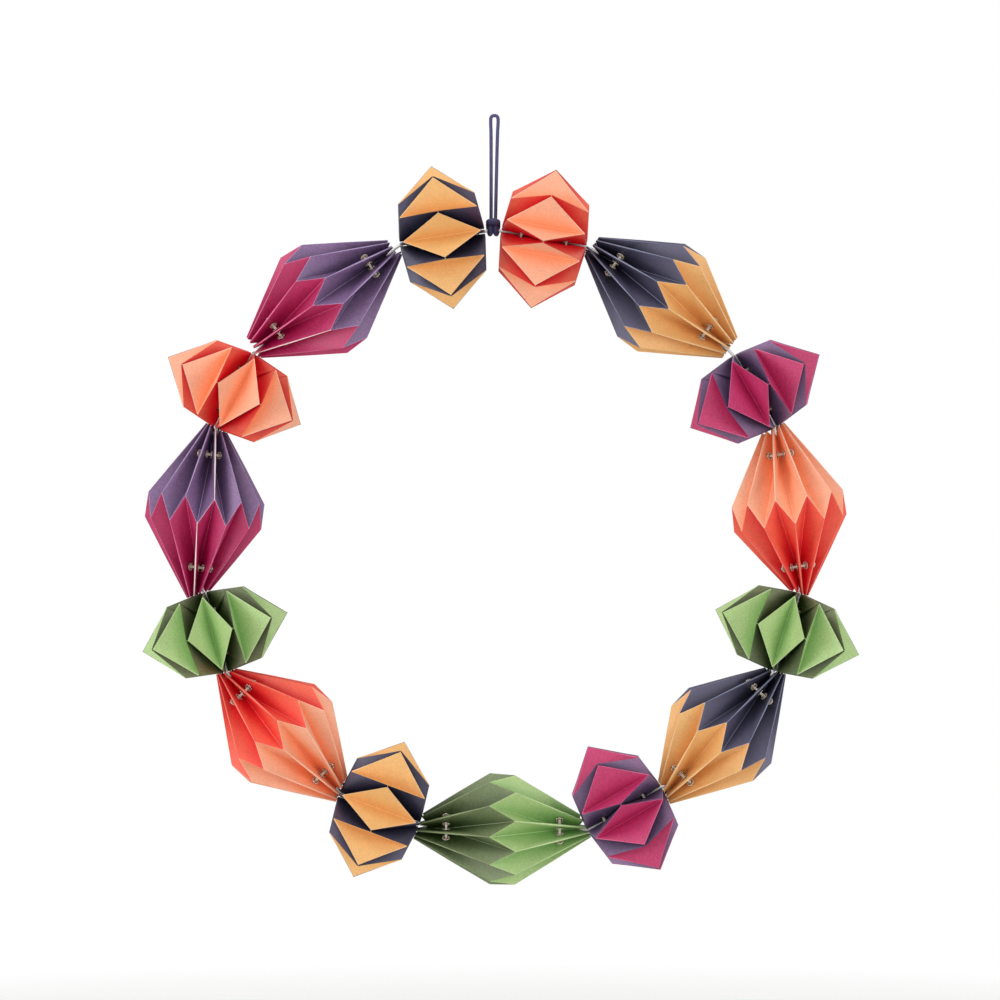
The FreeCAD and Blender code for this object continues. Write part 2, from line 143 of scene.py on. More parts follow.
# A fold's width and how far it is rounded outwards.
Fold = namedtuple("Fold", "width bulge")
CREST = Fold(0.5, 0.08)     # outer fold at a zigzag's point or a diamond's tip
RIDGE = Fold(1.2, 0.42)     # outer fold towards a unit's end
VALLEY = Fold(0.4, -0.08)   # inner fold towards a unit's end
CREASE = Fold(0.5, -0.06)   # down a diamond's middle
TIP = Fold(1.0, 0.1)        # a bead's widest point
ACROSS = (-1.0, -0.5, 0.0, 0.5, 1.0)    # places across a fold, in half widths
PALE_LINE_STRIPS = (1, 2)        # the middle two of the four strips between those places, painted as the pale line
HOLE_POINTS = 20
POINT_DIGITS = 4            # two points that agree to these decimals are one

# Half an eyelet, from the barrel out over the paper and back into the bore:
# share of the way from the bore to the flange's edge, and height over the paper.
eyelet_inside = 1.4         # radius of the bore between its rounded lips
ROLLED_LIP = ((0.4, 0.0), (0.9, 0.0), (1.0, 0.08), (0.93, 0.17), (0.6, 0.25),
              (0.25, 0.2), (0.04, 0.06), (0.0, -0.15))
SPLIT_LIP = ((0.4, 0.0), (0.9, 0.02), (1.0, 0.1), (0.9, 0.22), (0.6, 0.28),
             (0.25, 0.22), (0.04, 0.06), (0.0, -0.15))
eyelet_petals = 6
petal_points = 4            # round each petal, the first of them in the split
split_depth = 0.5           # share of the flange that is left at the bottom of a split
# How far along its axis an eyelet's own points may lie from its middle.
eyelet_reach = thread_circle_radius / 4
strand_diameter = 0.5
strand_spacing = 0.66       # between the two strands of one drawstring
round_steps = 3             # of a strand's or a cord's round section
line_steps = 16             # from one control point of a cord to the next

bead_half = bead_tip_half + bead_end_rise
SEAT_HALF = {"bead": bead_half, "lantern": lantern_seat_half}
INSET = {"bead": bead_inset, "lantern": lantern_inset}
PLEATS = {"bead": bead_pleats, "lantern": lantern_pleats}
THREAD_HALF = {"bead": bead_thread_half, "lantern": lantern_thread_half}
wire_run = sum(2 * SEAT_HALF[unit.kind] + unit.room for unit in UNITS)
hoop_radius = wire_run / tau


# ---- camera ----
sensor_width = 36           # in millimetres, as the next is
focal_length = 129.6
CAMERA_PLACE = (0.0031, -2.0, -0.2126)


def add_camera():
    """The camera, straight in front of the wreath and level."""
    data = bpy.data.cameras.new("camera")
    data.sensor_width = sensor_width
    data.lens = focal_length
    camera = bpy.data.objects.new("camera", data)
    camera.location = CAMERA_PLACE
    camera.rotation_euler = (pi / 2, 0, 0)
    bpy.context.scene.collection.objects.link(camera)
    bpy.context.scene.camera = camera


add_camera()


# ---- materials ----
noise_low = 0.3             # nearly all of a noise lies between these
noise_high = 0.7
fold_reach = 0.01           # from which one sheet shades the next
hollow_reach = 0.0015       # the same for an eyelet's bore
painted_shade_share = 0.35           # the painted shade is full where this share of the sky is open
shade_samples = 12
# Noises: scale, detail and roughness.
FIBRE_NOISE = (1100, 4, 0.6)
CLOUD_NOISE = (160, 2, 0.5)
SCUFF_NOISE = (900, 3, 0.5)
# How a pattern changes the colour's brightness, and what roughness it gives.
CLOUD_SHADES = (0.97, 1.03)
PAPER_ROUGHNESS = (0.4, 0.52)
SCUFF_SHADES = (0.94, 1.04)
PLY_SHADES = (0.94, 1.03)
PLY_ROUGHNESS = (0.75, 0.55)
ply_scale = 0.3
# Bumps: height and strength.
FIBRE_BUMP = (0.00006, 0.5)
SCUFF_BUMP = (0.00001, 0.2)
PLY_BUMP = (0.00001, 0.3)
paper_gloss = 1.0           # level of the sheets' sheen
gloss_tint = 0.5            # share of it that takes the sheet's colour


def srgb(red, green, blue):
    """A colour given as it shows on a screen, 0 to 255, as the shader takes it.

    The numbers are those of the sRGB curve.
    """
    channels = []
    for value in (red, green, blue):
        value /= 255
        channels.append(value / 12.92 if value <= 0.04045 else ((value + 0.055) / 1.055) ** 2.4)
    return (*channels, 1.0)


class Nodes:
    """Short hand for a material's node tree."""

    def __init__(self, name):
        self.material = bpy.data.materials.new(name)
        self.material.use_nodes = True
        self.tree = self.material.node_tree
        self.shader = self.tree.nodes["Principled BSDF"]

    def add(self, kind, inputs=None, **settings):
        """A shader node with its settings, and values or links for its inputs."""
        node = self.tree.nodes.new("ShaderNode" + kind)
        for name, value in settings.items():
            setattr(node, name, value)
        for name, value in (inputs or {}).items():
            if isinstance(value, bpy.types.NodeSocket):
                self.tree.links.new(value, node.inputs[name])
            else:
                node.inputs[name].default_value = value
        return node

    def place(self):
        """The point on the piece, in metres."""
        return self.add("TexCoord").outputs["Object"]

    def noise(self, scale, detail, roughness):
        inputs = {"Vector": self.place(), "Scale": scale, "Detail": detail, "Roughness": roughness}
        return self.add("TexNoise", inputs).outputs["Fac"]

    def ranged(self, value, low, high, start=noise_low, end=noise_high):
        """A value between start and end as one between low and high."""
        inputs = {"Value": value, "From Min": start, "From Max": end, "To Min": low, "To Max": high}
        return self.add("MapRange", inputs).outputs["Result"]

    def tinted(self, colour, brightness):
        """The colour, made lighter or darker by a value about 1."""
        inputs = {"Color": colour, "Value": brightness}
        return self.add("HueSaturation", inputs).outputs["Color"]

    def with_painted_shade(self, colour, deep, reach):
        """The colour in the open, and a painted shade colour where the surfaces close by hide the
        sky.
        """
        around = self.add("AmbientOcclusion", {"Distance": reach}, samples=shade_samples)
        openness = self.ranged(around.outputs["AO"], 0, 1, painted_shade_share, 1)
        inputs = {"Fac": openness, "Color1": srgb(*deep), "Color2": srgb(*colour)}
        return self.add("MixRGB", inputs).outputs["Color"]

    def bumped(self, height, distance, strength):
        inputs = {"Height": height, "Distance": distance, "Strength": strength}
        return self.add("Bump", inputs).outputs["Normal"]

    def set(self, **inputs):
        """Values or links for the shader's own sockets."""
        for name, value in inputs.items():
            socket = self.shader.inputs[name.replace("_", " ")]
            if isinstance(value, bpy.types.NodeSocket):
                self.tree.links.new(value, socket)
            else:
                socket.default_value = value


def paper(name, colour, deep, mottle):
    """Smooth coloured card: fine fibres, a little cloudiness, a soft sheen.

    Deep in a fold the colour is painted darker and fuller: painted shade, tinted like light bounced
    from sheet to sheet.
    """
    nodes = Nodes(name)
    fibre = nodes.noise(*FIBRE_NOISE)
    cloud = nodes.noise(*CLOUD_NOISE)
    fibres = nodes.ranged(fibre, 1 - mottle, 1 + mottle)
    clouds = nodes.ranged(cloud, *CLOUD_SHADES)
    grain = nodes.add("Math", {0: fibres, 1: clouds}, operation="MULTIPLY").outputs[0]
    written = srgb(*colour)[:3]
    tint = [1 - gloss_tint + gloss_tint * channel / max(written) for channel in written]
    # Base colour with painted shade deep in the folds
    nodes.set(Base_Color=nodes.tinted(nodes.with_painted_shade(colour, deep, fold_reach), grain),
              Roughness=nodes.ranged(fibre, *PAPER_ROUGHNESS),
              Normal=nodes.bumped(fibre, *FIBRE_BUMP),
              Specular_IOR_Level=paper_gloss, Specular_Tint=(*tint, 1))
    return nodes.material


# A sheet's colour in the open, its painted shade deep in a fold, that of its pale edge
# lines, partly wear and partly painted highlight, and how far its fibres are darker and lighter
# than it.
Card = namedtuple("Card", "face deep worn mottle")
CARDS = {
    "gold": Card((229, 178, 113), (226, 162, 93), (240, 196, 146), 0.1),
    "navy": Card((73, 70, 91), (17, 18, 36), (112, 120, 146), 0.3),
    "coral": Card((240, 171, 138), (252, 150, 100), (250, 190, 166), 0.1),
    "red": Card((239, 98, 72), (224, 8, 35), (244, 118, 106), 0.14),
    "magenta": Card((184, 53, 103), (162, 5, 75), (212, 100, 142), 0.25),
    "purple": Card((128, 99, 139), (76, 60, 91), (160, 142, 184), 0.3),
    "light_green": Card((166, 193, 128), (122, 167, 91), (186, 212, 154), 0.15),
    "dark_green": Card((111, 125, 87), (32, 51, 5), (118, 130, 88), 0.32),
}
PAPERS = {}
LINES = {}
# Each paper and its pale line, which is partly wear and partly painted highlight
for name, card in CARDS.items():
    PAPERS[name] = paper("paper_" + name, card.face, card.deep, card.mottle)
    LINES[name] = paper("line_" + name, card.worn, card.face, card.mottle)
# The white core, with painted shade deep in its folds too
CORE = paper("paper_core", colour=(246, 238, 230), deep=(214, 196, 190), mottle=0.05)


def metal(name, colour, hollow_shade, metallic, roughness):
    """Drawn or pressed metal with faint scuffs, painted darker in its hollows as painted shade."""
    nodes = Nodes(name)
    scuffs = nodes.noise(*SCUFF_NOISE)
    # Painted shade where the surfaces close by hide the sky
    worn = nodes.with_painted_shade(colour, hollow_shade, hollow_reach)
    nodes.set(Base_Color=nodes.tinted(worn, nodes.ranged(scuffs, *SCUFF_SHADES)),
              Metallic=metallic, Roughness=nodes.ranged(scuffs, *roughness),
              Normal=nodes.bumped(scuffs, *SCUFF_BUMP))
    return nodes.material


def thread(name, colour, turns, plies):
    """Fibre laid up in plies that twist round the piece, along its UV map."""
    nodes = Nodes(name)
    inputs = {"Vector": nodes.add("TexCoord").outputs["UV"], "Scale": (turns, plies, 1)}
    laid = nodes.add("Mapping", inputs).outputs["Vector"]
    bands = nodes.add("TexWave", {"Vector": laid, "Scale": ply_scale}, bands_direction="DIAGONAL")
    wave = bands.outputs["Fac"]
    shades = nodes.ranged(wave, *PLY_SHADES, start=0, end=1)
    nodes.set(Base_Color=nodes.tinted(srgb(*colour), shades),
              Roughness=nodes.ranged(wave, *PLY_ROUGHNESS, start=0, end=1),
              Normal=nodes.bumped(wave, *PLY_BUMP))
    return nodes.material


# Both metals get painted shade in their hollows
EYELET_METAL = metal("eyelet_metal", colour=(255, 244, 226), hollow_shade=(104, 80, 62),
                     metallic=0.55, roughness=(0.12, 0.24))
WIRE = metal("wire", colour=(222, 218, 214), hollow_shade=(150, 144, 138),
             metallic=0.85, roughness=(0.3, 0.42))
THREAD = thread("silver_thread", colour=(240, 232, 216), turns=60, plies=2)
CORD = thread("cord", colour=(66, 64, 104), turns=80, plies=4)


# ---- the units' seats on the hoop ----
def spoke(angle):
    """Direction outwards at an angle in degrees clockwise from the hoop's top."""
    return V((sin(radians(angle)), 0, cos(radians(angle))))


knot_point = V((knot_side, 0, -cord_drop))
hoop_centre = knot_point - spoke(knot_angle) * (hoop_radius + knot_rise)


def heading(bearing):
    """Direction of clockwise travel at a bearing in radians."""
    return V((cos(bearing), 0, -sin(bearing)))


class Seat:
    """Where a unit sits: its middle, its axis and its pleats' directions."""

    def __init__(self, unit, angle):
        self.unit = unit
        self.middle = hoop_centre + spoke(angle) * (hoop_radius - INSET[unit.kind] + unit.rise)
        self.bearing = radians(angle + unit.lean)
        self.axis = heading(self.bearing)
        self.front = V((0, -1, 0))
        self.inward = self.axis.cross(self.front)

    def station(self, side):
        """Point and direction of the wire's clockwise travel near one end."""
        half = lantern_throat_half if self.unit.kind == "lantern" else bead_tip_half
        turned = heading(self.bearing + side * half / hoop_radius)
        return self.middle + self.axis * side * half, turned

    def azimuth(self, pleat):
        """Direction of a pleat, in radians from the front towards the hoop's centre."""
        even = radians(self.unit.turn + 360 * pleat / PLEATS[self.unit.kind])
        return even + self.unit.crowd * sin(even - radians(self.unit.crowd_side))

    def out(self, azimuth):
        """Direction away from the axis."""
        return self.front * cos(azimuth) + self.inward * sin(azimuth)

    def point(self, radius, azimuth, along):
        """Point at a distance from the axis and one along it from the middle."""
        return self.middle + self.out(azimuth) * radius + self.axis * along


def seats():
    """Seats of all units, laid end to end along the wire from the knot."""
    placed = []
    travelled = knot_space / 2
    for unit in UNITS:
        travelled += SEAT_HALF[unit.kind]
        placed.append(Seat(unit, knot_angle + degrees(travelled / hoop_radius)))
        travelled += SEAT_HALF[unit.kind] + unit.room
    return placed


# ---- folded paper ----
# A sheet is a grid of points: rings from a unit's start to its end, and in each
# ring two columns for each pleat.  A lantern's even columns are outer folds at
# its start and inner folds at its end, and its odd ones the other way round.  A
# bead's odd columns are outer folds from both ends to a diamond's tips, with its
# crease between them, and its even ones are inner folds from both ends to the
# widest points, where two diamonds meet.
BEAD_RINGS = {-1: (0, 1, 2, 3), 1: (7, 6, 5, 4)}    # from each end to the middle
# Paint of each row of faces: which of the unit's two papers, and whether it is a line.
LANTERN_ROWS = ((0, False), (0, False), (0, False), (0, True),
                (1, True), (1, False), (1, False), (1, False))
BEAD_ROWS = ((1, False), (0, True), (0, True), (0, False), (0, True), (0, True), (1, False))
DIAMOND_ROWS = (2, 3, 4)
# The rows that an end's eyelets pierce, and that end.
HOLE_ROWS = {"bead": {0: -1, 6: 1}, "lantern": {1: -1, 6: 1}}
# Where the photograph shows the sheets' white core, along a cut edge on an outer
# fold: those folds' columns, by the unit's number.
SEAMS = {12: (22, 23), 14: (2,)}
# A sheet's materials are its two papers, their two lines and the core.
LINE_PAINT = 2              # from a paper's place among them to its line's
CORE_PAINT = 4              # the core's place


def end_half(bead):
    """Half length of a bead, shorter where it is spread wider."""
    return bead_half - bead_squeeze * bead.girth


def towards(start, end, distance):
    """Point at a distance from the start, in the end's direction."""
    return start + (end - start).normalized() * distance


def arcs_meet(start, start_way, end, end_way):
    """Where the wire's two arcs between two stations meet."""
    gap = end - start
    spread = 2 * (1 - start_way.dot(end_way))
    pull = gap.dot(start_way + end_way)
    reach = gap.dot(gap) / ((pull * pull + spread * gap.dot(gap)) ** 0.5 + pull)
    return (start + start_way * reach + end - end_way * reach) / 2


def beyond_throat(seat, bead_seat, side):
    """Point of the wire where a lantern's inner folds end, towards the bead beside it."""
    throat, way = seat.station(side)
    way = way * side
    bead_end, bead_way = bead_seat.station(-side)
    to_meet = arcs_meet(throat, way, bead_end, bead_way * side) - throat
    bow = to_meet - way * to_meet.dot(way)
    share = lantern_tuck / to_meet.length
    return throat + way * lantern_tuck + bow * (share * share)


def fold_arc(seat, point, azimuth, fold):
    """Points across a rounded fold."""
    across = seat.out(azimuth + pi / 2) * (fold.width / 2)
    outward = seat.out(azimuth) * fold.bulge
    return [point + across * share + outward * (1 - share * share) for share in ACROSS]


def stopped(start, end, bead_seat, side):
    """The end of an outer fold: at the bead beside it, unless that is too far off.

    A bead's end is a low cone, so the fold goes further where it meets that off its middle.
    """
    normal = bead_seat.axis * -side
    stop = bead_seat.middle + normal * (end_half(bead_seat.unit) + end_play)
    near = (start - stop).dot(normal)
    far = (end - stop).dot(normal)
    share = near / (near - far)
    if not 0 < share < lantern_stretch:
        return end
    from_middle = (start.lerp(end, share) - stop).length
    slope = bead_end_rise / (bead_tip_radius - bead_throat_radius)
    hollow = max(0, from_middle - bead_throat_radius) * slope
    return start.lerp(end, (near + hollow) / (near - far))


def lantern_rings(seat, beads):
    """Rings of points from the lantern's start to its end; the fifth is the zigzag."""
    radius = lantern_radius + seat.unit.girth
    mouth_radii = {-1: lantern_mouth_radius - seat.unit.draw_start,
                   1: lantern_mouth_radius - seat.unit.draw_end}
    tucks = {side: beyond_throat(seat, bead, side) for side, bead in beads.items()}
    zigzag = []
    halves = {side: ([], [], [], []) for side in beads}
    for column in range(2 * lantern_pleats):
        azimuth = seat.azimuth(column / 2)
        ridge_side = -1 if column % 2 == 0 else 1
        along = -lantern_zigzag_front if ridge_side < 0 else lantern_zigzag_back
        crest = seat.point(radius, azimuth, along)
        zigzag += fold_arc(seat, crest, azimuth, CREST)
        for side, rings in halves.items():
            if side == ridge_side:
                mouth = seat.point(mouth_radii[side], azimuth, side * lantern_strip_half)
                last = stopped(crest, mouth, beads[side], side)
                middle = crest.lerp(last, ridge_middle)
                late = crest.lerp(last, ridge_late)
                fold = RIDGE
            else:
                middle = seat.point(lantern_gather_radius, azimuth, side * lantern_gather_half)
                late = seat.point(lantern_throat_radius, azimuth, side * lantern_throat_half)
                last = tucks[side] + seat.out(azimuth) * lantern_throat_radius
                fold = VALLEY
            near = towards(crest, middle, line_width)
            rings[0].extend(fold_arc(seat, near, azimuth, CREST))
            for ring, point in zip(rings[1:], (middle, late, last)):
                ring += fold_arc(seat, point, azimuth, fold)
    return [*reversed(halves[-1]), zigzag, *halves[1]]


def bead_rings(seat):
    """Rings of points from the bead's start to its end; the middle four hold the diamonds."""
    rings = [[] for ring in range(len(BEAD_ROWS) + 1)]
    for column in range(2 * bead_pleats):
        azimuth = seat.azimuth(column / 2)
        for side, order in BEAD_RINGS.items():
            if column % 2 == 0:
                corner = seat.point(bead_radius + seat.unit.girth, azimuth, 0)
                throat = seat.point(bead_throat_radius, azimuth, side * bead_throat_half)
                folds = (VALLEY, TIP, TIP, TIP)
                inner = corner
            else:
                tip_half = end_half(seat.unit) - bead_end_rise
                corner = seat.point(bead_tip_radius, azimuth, side * tip_half)
                throat = seat.point(bead_throat_radius, azimuth, side * end_half(seat.unit))
                folds = (RIDGE, CREST, CREST, CREASE)
                inner = corner - seat.axis * (2 * side * line_width)
            near = towards(corner, throat, edge_width)
            for number, point, fold in zip(order, (throat, near, corner, inner), folds):
                arc = fold_arc(seat, point, azimuth, fold)
                if point is inner and column % 2 == 0:
                    for place, neighbour in ((0, column - 1), (-1, column + 1)):
                        crease = seat.point(bead_tip_radius, seat.azimuth(neighbour / 2), 0)
                        arc[place] = towards(arc[place], crease, 2 * line_width)
                rings[number] += arc
    return rings


def ridge_shift(kind, side):
    """How far the outer folds at one end lie from the pleats' own directions, in pleats."""
    return 0.5 if kind == "bead" or side > 0 else 0


class Sheet:
    """Faces gathered for one sheet of paper or metal; points in one place are one vertex."""

    def __init__(self):
        self.points = []
        self.numbers = {}
        self.faces = []
        self.paints = []

    def number(self, point):
        """The number of the vertex at a point, which is made if there is none yet."""
        key = tuple(round(value, POINT_DIGITS) for value in point)
        if key not in self.numbers:
            self.numbers[key] = len(self.points)
            self.points.append(point * METRES)
        return self.numbers[key]

    def add(self, corners, paint):
        """A face; one with four corners is split at its shorter diagonal, as in the solid."""
        if len(corners) == 4:
            a, b, c, d = corners
            if (c - a).length < (d - b).length:
                self.add([a, b, c], paint)
                self.add([a, c, d], paint)
            else:
                self.add([a, b, d], paint)
                self.add([b, c, d], paint)
            return
        face = []
        for point in corners:
            number = self.number(point)
            if number not in face:
                face.append(number)
        if len(face) > 2:
            self.faces.append(face)
            self.paints.append(paint)

    def add_pierced(self, corners, hole, paint):
        """A face with four corners and a round hole."""
        points = corners + hole
        facing = (corners[2] - corners[0]).cross(corners[3] - corners[1])
        for a, b, c in tessellate_polygon([corners, hole]):
            if (points[b] - points[a]).cross(points[c] - points[a]).dot(facing) < 0:
                b, c = c, b
            self.add([points[a], points[b], points[c]], paint)


def hole_in(corners, centre, axis, seat):
    """Round hole along an axis through the face with these corners."""
    radius = eyelet_bore / 2 + eyelet_wall + eyelet_play
    facing = (corners[2] - corners[0]).cross(corners[3] - corners[1])
    middle = sum(corners, V((0, 0, 0))) / len(corners)
    up = axis.cross(seat.axis)
    rim = []
    for step in range(HOLE_POINTS):
        turn = tau * step / HOLE_POINTS
        point = centre + (seat.axis * cos(turn) + up * sin(turn)) * radius
        rim.append(point + axis * ((middle - point).dot(facing) / axis.dot(facing)))
    return rim


def folded_sheet(seat, rings, seam):
    """The faces of one unit's paper, its white core bare on outer folds in the seam's columns."""
    kind = seat.unit.kind
    bead = kind == "bead"
    rows = BEAD_ROWS if bead else LANTERN_ROWS
    around = len(rings[0])
    sheet = Sheet()
    for row, (colour, line) in enumerate(rows):
        side = HOLE_ROWS[kind].get(row)
        for step in range(around):
            column, across = divmod(step, len(ACROSS))
            on_fold = across < len(ACROSS) - 1
            on_diamond = bead and row in DIAMOND_ROWS
            if on_diamond and on_fold and column % 2 == 0:
                # The inner folds of both ends meet here, with nothing between them.
                continue
            following = (step + 1) % around
            corners = [rings[row][step], rings[row][following],
                       rings[row + 1][following], rings[row + 1][step]]
            start_ridge = row < len(rows) / 2 and column % 2 == 0
            end_ridge = row >= len(rows) / 2 and column % 2 == 1
            ridge = column % 2 == 1 if bead else start_ridge or end_ridge
            # The pale line: partly wear, partly painted highlight
            worn = line or (on_fold and across in PALE_LINE_STRIPS and not on_diamond)
            paint = colour
            if worn:
                paint = CORE_PAINT if ridge and column in seam else colour + LINE_PAINT
            if side is None or on_fold:
                sheet.add(corners, paint)
                continue
            ridge_column = column if ridge else column + 1
            azimuth = seat.azimuth(ridge_column / 2)
            centre = seat.point(thread_circle_radius, azimuth, side * THREAD_HALF[kind])
            hole = hole_in(corners, centre, seat.out(azimuth + pi / 2), seat)
            sheet.add_pierced(corners, hole, paint)
    return sheet


def mesh_piece(name, points, faces, materials, paints=None):
    """A mesh object that rides on the root."""
    mesh = bpy.data.meshes.new(name)
    mesh.from_pydata(points, [], faces)
    for material in materials:
        mesh.materials.append(material)
    if paints:
        mesh.polygons.foreach_set("material_index", paints)
    mesh.validate()
    mesh.shade_smooth()
    piece = bpy.data.objects.new(name, mesh)
    bpy.context.scene.collection.objects.link(piece)
    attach(piece, "root")
    return piece


def stand_for(piece, node):
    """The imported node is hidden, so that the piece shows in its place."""
    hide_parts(node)


def add_paper(number, placed):
    """The folded sheet of one unit, with the paper's thickness inwards from its faces."""
    seat = placed[number]
    unit = seat.unit
    if unit.kind == "bead":
        rings = bead_rings(seat)
    else:
        beads = {-1: placed[number - 1], 1: placed[(number + 1) % len(placed)]}
        rings = lantern_rings(seat, beads)
    sheet = folded_sheet(seat, rings, SEAMS.get(number + 1, ()))
    materials = [PAPERS[unit.face], PAPERS[unit.side], LINES[unit.face], LINES[unit.side], CORE]
    node = "%s_%02d" % (unit.kind, number + 1)
    piece = mesh_piece("paper_" + node, sheet.points, sheet.faces, materials, sheet.paints)
    thick = piece.modifiers.new("thickness", "SOLIDIFY")
    thick.thickness = paper_thickness * METRES
    thick.offset = -1
    normals = piece.modifiers.new("flat_sides", "WEIGHTED_NORMAL")
    normals.keep_sharp = True
    stand_for(piece, node)


PLACED = seats()
for number in range(len(PLACED)):
    add_paper(number, PLACED)


# ---- eyelets ----
def lip(seat, centre, axis, outline, split):
    """Rings of points over one lip of an eyelet, at heights along its axis from its middle."""
    up = axis.cross(seat.axis)
    widest = eyelet_flange_diameter / 2 - eyelet_inside
    count = eyelet_petals * petal_points
    rings = []
    for share, height in outline:
        ring = []
        for step in range(count):
            open_here = split and step % petal_points == 0
            radius = eyelet_inside + widest * (min(share, split_depth) if open_here else share)
            turn = tau * step / count
            way = seat.axis * cos(turn) + up * sin(turn)
            ring.append(centre + way * radius + axis * height)
        rings.append(ring)
    return rings


def add_eyelet(sheet, seat, centre, axis, before, after):
    """An eyelet, rolled over on one side of a pleat and split open on the other."""
    split_outline = [(share, -before - height) for share, height in SPLIT_LIP]
    rolled_outline = [(share, after + height) for share, height in ROLLED_LIP]
    opened = lip(seat, centre, axis, split_outline, True)
    rolled = lip(seat, centre, axis, rolled_outline, False)
    rings = [*reversed(opened), *rolled]
    for ring, following in zip(rings, [*rings[1:], rings[0]]):
        for step in range(len(ring)):
            ahead = (step + 1) % len(ring)
            sheet.add([ring[step], ring[ahead], following[ahead], following[step]], 0)


def reach_of(solid_points, centre, axis):
    """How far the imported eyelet's flanges lie before and after its middle."""
    heights = []
    for point in solid_points:
        offset = point - centre
        height = offset.dot(axis)
        if (offset - axis * height).length < eyelet_flange_diameter / 2 + eyelet_play:
            heights.append(height)
    nearest = [height for height in heights if abs(height) < eyelet_reach]
    return -min(nearest) - eyelet_flange_thickness, max(nearest) - eyelet_flange_thickness


def eyelet_seats(seat):
    """Middle and axis of each eyelet of a unit, and its end."""
    kind = seat.unit.kind
    for side in (-1, 1):
        for pleat in range(PLEATS[kind]):
            azimuth = seat.azimuth(pleat + ridge_shift(kind, side))
            centre = seat.point(thread_circle_radius, azimuth, side * THREAD_HALF[kind])
            yield side, centre, seat.out(azimuth + pi / 2)


def add_eyelets(number, seat):
    """All the eyelets of one unit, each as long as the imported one."""
    node = "eyelets_%02d" % (number + 1)
    solid_points = [vertex.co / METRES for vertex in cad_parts[node].data.vertices]
    sheet = Sheet()
    for side, centre, axis in eyelet_seats(seat):
        add_eyelet(sheet, seat, centre, axis, *reach_of(solid_points, centre, axis))
    stand_for(mesh_piece("dressed_" + node, sheet.points, sheet.faces, [EYELET_METAL]), node)


# ---- drawstrings, wire and cord ----
def curve_of(name, diameter, material):
    """Curve data, still without lines, for round strands of one thickness."""
    curve = bpy.data.curves.new(name, "CURVE")
    curve.dimensions = "3D"
    curve.bevel_depth = diameter / 2 * METRES
    curve.bevel_resolution = round_steps
    curve.materials.append(material)
    return curve


def curve_piece(curve):
    """A curve object that rides on the root."""
    piece = bpy.data.objects.new(curve.name, curve)
    bpy.context.scene.collection.objects.link(piece)
    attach(piece, "root")
    return piece


def add_drawstrings(number, seat):
    """Both strands of both drawstrings, straight from eyelet to eyelet."""
    node = "drawstrings_%02d" % (number + 1)
    curve = curve_of("dressed_" + node, strand_diameter, THREAD)
    for end in (-1, 1):
        middles = [centre for side, centre, axis in eyelet_seats(seat) if side == end]
        for offset in (-strand_spacing / 2, strand_spacing / 2):
            strand = curve.splines.new("POLY")
            strand.points.add(len(middles) - 1)
            for point, middle in zip(strand.points, middles):
                point.co = (*((middle + seat.axis * offset) * METRES), 1)
            strand.use_cyclic_u = True
    stand_for(curve_piece(curve), node)


for number, seat in enumerate(PLACED):
    add_eyelets(number, seat)
    add_drawstrings(number, seat)

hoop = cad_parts["hoop"]
hoop.data.materials.clear()
hoop.data.materials.append(WIRE)


def smooth_line(name, points, diameter, material, fullness=None):
    """A round cord along a smooth line with these control points.

    fullness is the cord's thickness at each of them, as a share of its diameter.
    """
    curve = curve_of(name, diameter, material)
    curve.resolution_u = line_steps
    line = curve.splines.new("NURBS")
    line.points.add(len(points) - 1)
    for number, place in enumerate(points):
        line.points[number].co = (*(V(place) * METRES), 1)
        if fullness:
            line.points[number].radius = fullness[number]
    line.order_u = 3
    line.use_endpoint_u = True
    return curve_piece(curve)


# The loop's line from the left strand's foot over the hook's place to the right one's.
# All but the feet are as in the part's source.
LEFT_FOOT = (-1.842, -1.854, -56.4)
RIGHT_FOOT = (0.625, -1.854, -56.4)
LOOP_POINTS = (
    LEFT_FOOT,
    (-1.8, -0.2, -9.5),
    (-2.1, 0.0, -3.4),
    (-2.0, 0.0, 0.95),
    (2.0, 0.0, 0.95),
    (2.1, 0.0, -3.4),
    (1.6, -0.2, -9.5),
    RIGHT_FOOT,
)
# The knot's line, left half, from the knot's middle: down in front of the wire,
# round it and up behind, over the strands and into the bar; and its fullness there.
KNOT_LEFT = (
    ((-1.15, -1.9, 5.2), 1.0),
    ((-1.25, -2.3, 2.9), 1.5),
    ((-1.4, -2.6, 0.5), 1.85),
    ((-1.5, -2.3, -1.8), 1.65),
    ((-1.9, 1.2, -2.3), 1.3),
    ((-2.5, 2.6, 0.4), 1.4),
    ((-2.8, 2.4, 3.0), 1.4),
    ((-2.6, -0.4, 4.8), 1.45),
    ((-2.5, -4.1, 4.2), 1.75),
    ((-1.0, -4.6, 4.65), 1.95),
)


def add_cord():
    """The knot, whose line starts and ends at the strands' feet, and the loop over it."""
    left = [(V(place) + knot_point, fullness) for place, fullness in KNOT_LEFT]
    right = [(V((-x, y, z)) + knot_point, fullness) for (x, y, z), fullness in reversed(KNOT_LEFT)]
    route = [(V(LEFT_FOOT), 1.0), *left, *right, (V(RIGHT_FOOT), 1.0)]
    places, fullness = zip(*route)
    knot = smooth_line("dressed_knot", places, cord_diameter, CORD, fullness)
    stand_for(knot, "cord_knot")
    loop = smooth_line("dressed_loop", LOOP_POINTS, cord_diameter, CORD)
    stand_for(loop, "hanging_cord")


add_cord()


# ---- light and stage ----
WREATH_MIDDLE = V((0, 0, -0.23))
WHITE = (1, 1, 1, 1)
sky_strength = 0.72
FLOOR_COLOUR = (232, 230, 226)
floor_roughness = 0.9
floor_radius = 1.6
floor_points = 64
floor_drop = 0.25           # below the wreath's lowest point
lamp_distance = 2.2
lamp_size = 1.0
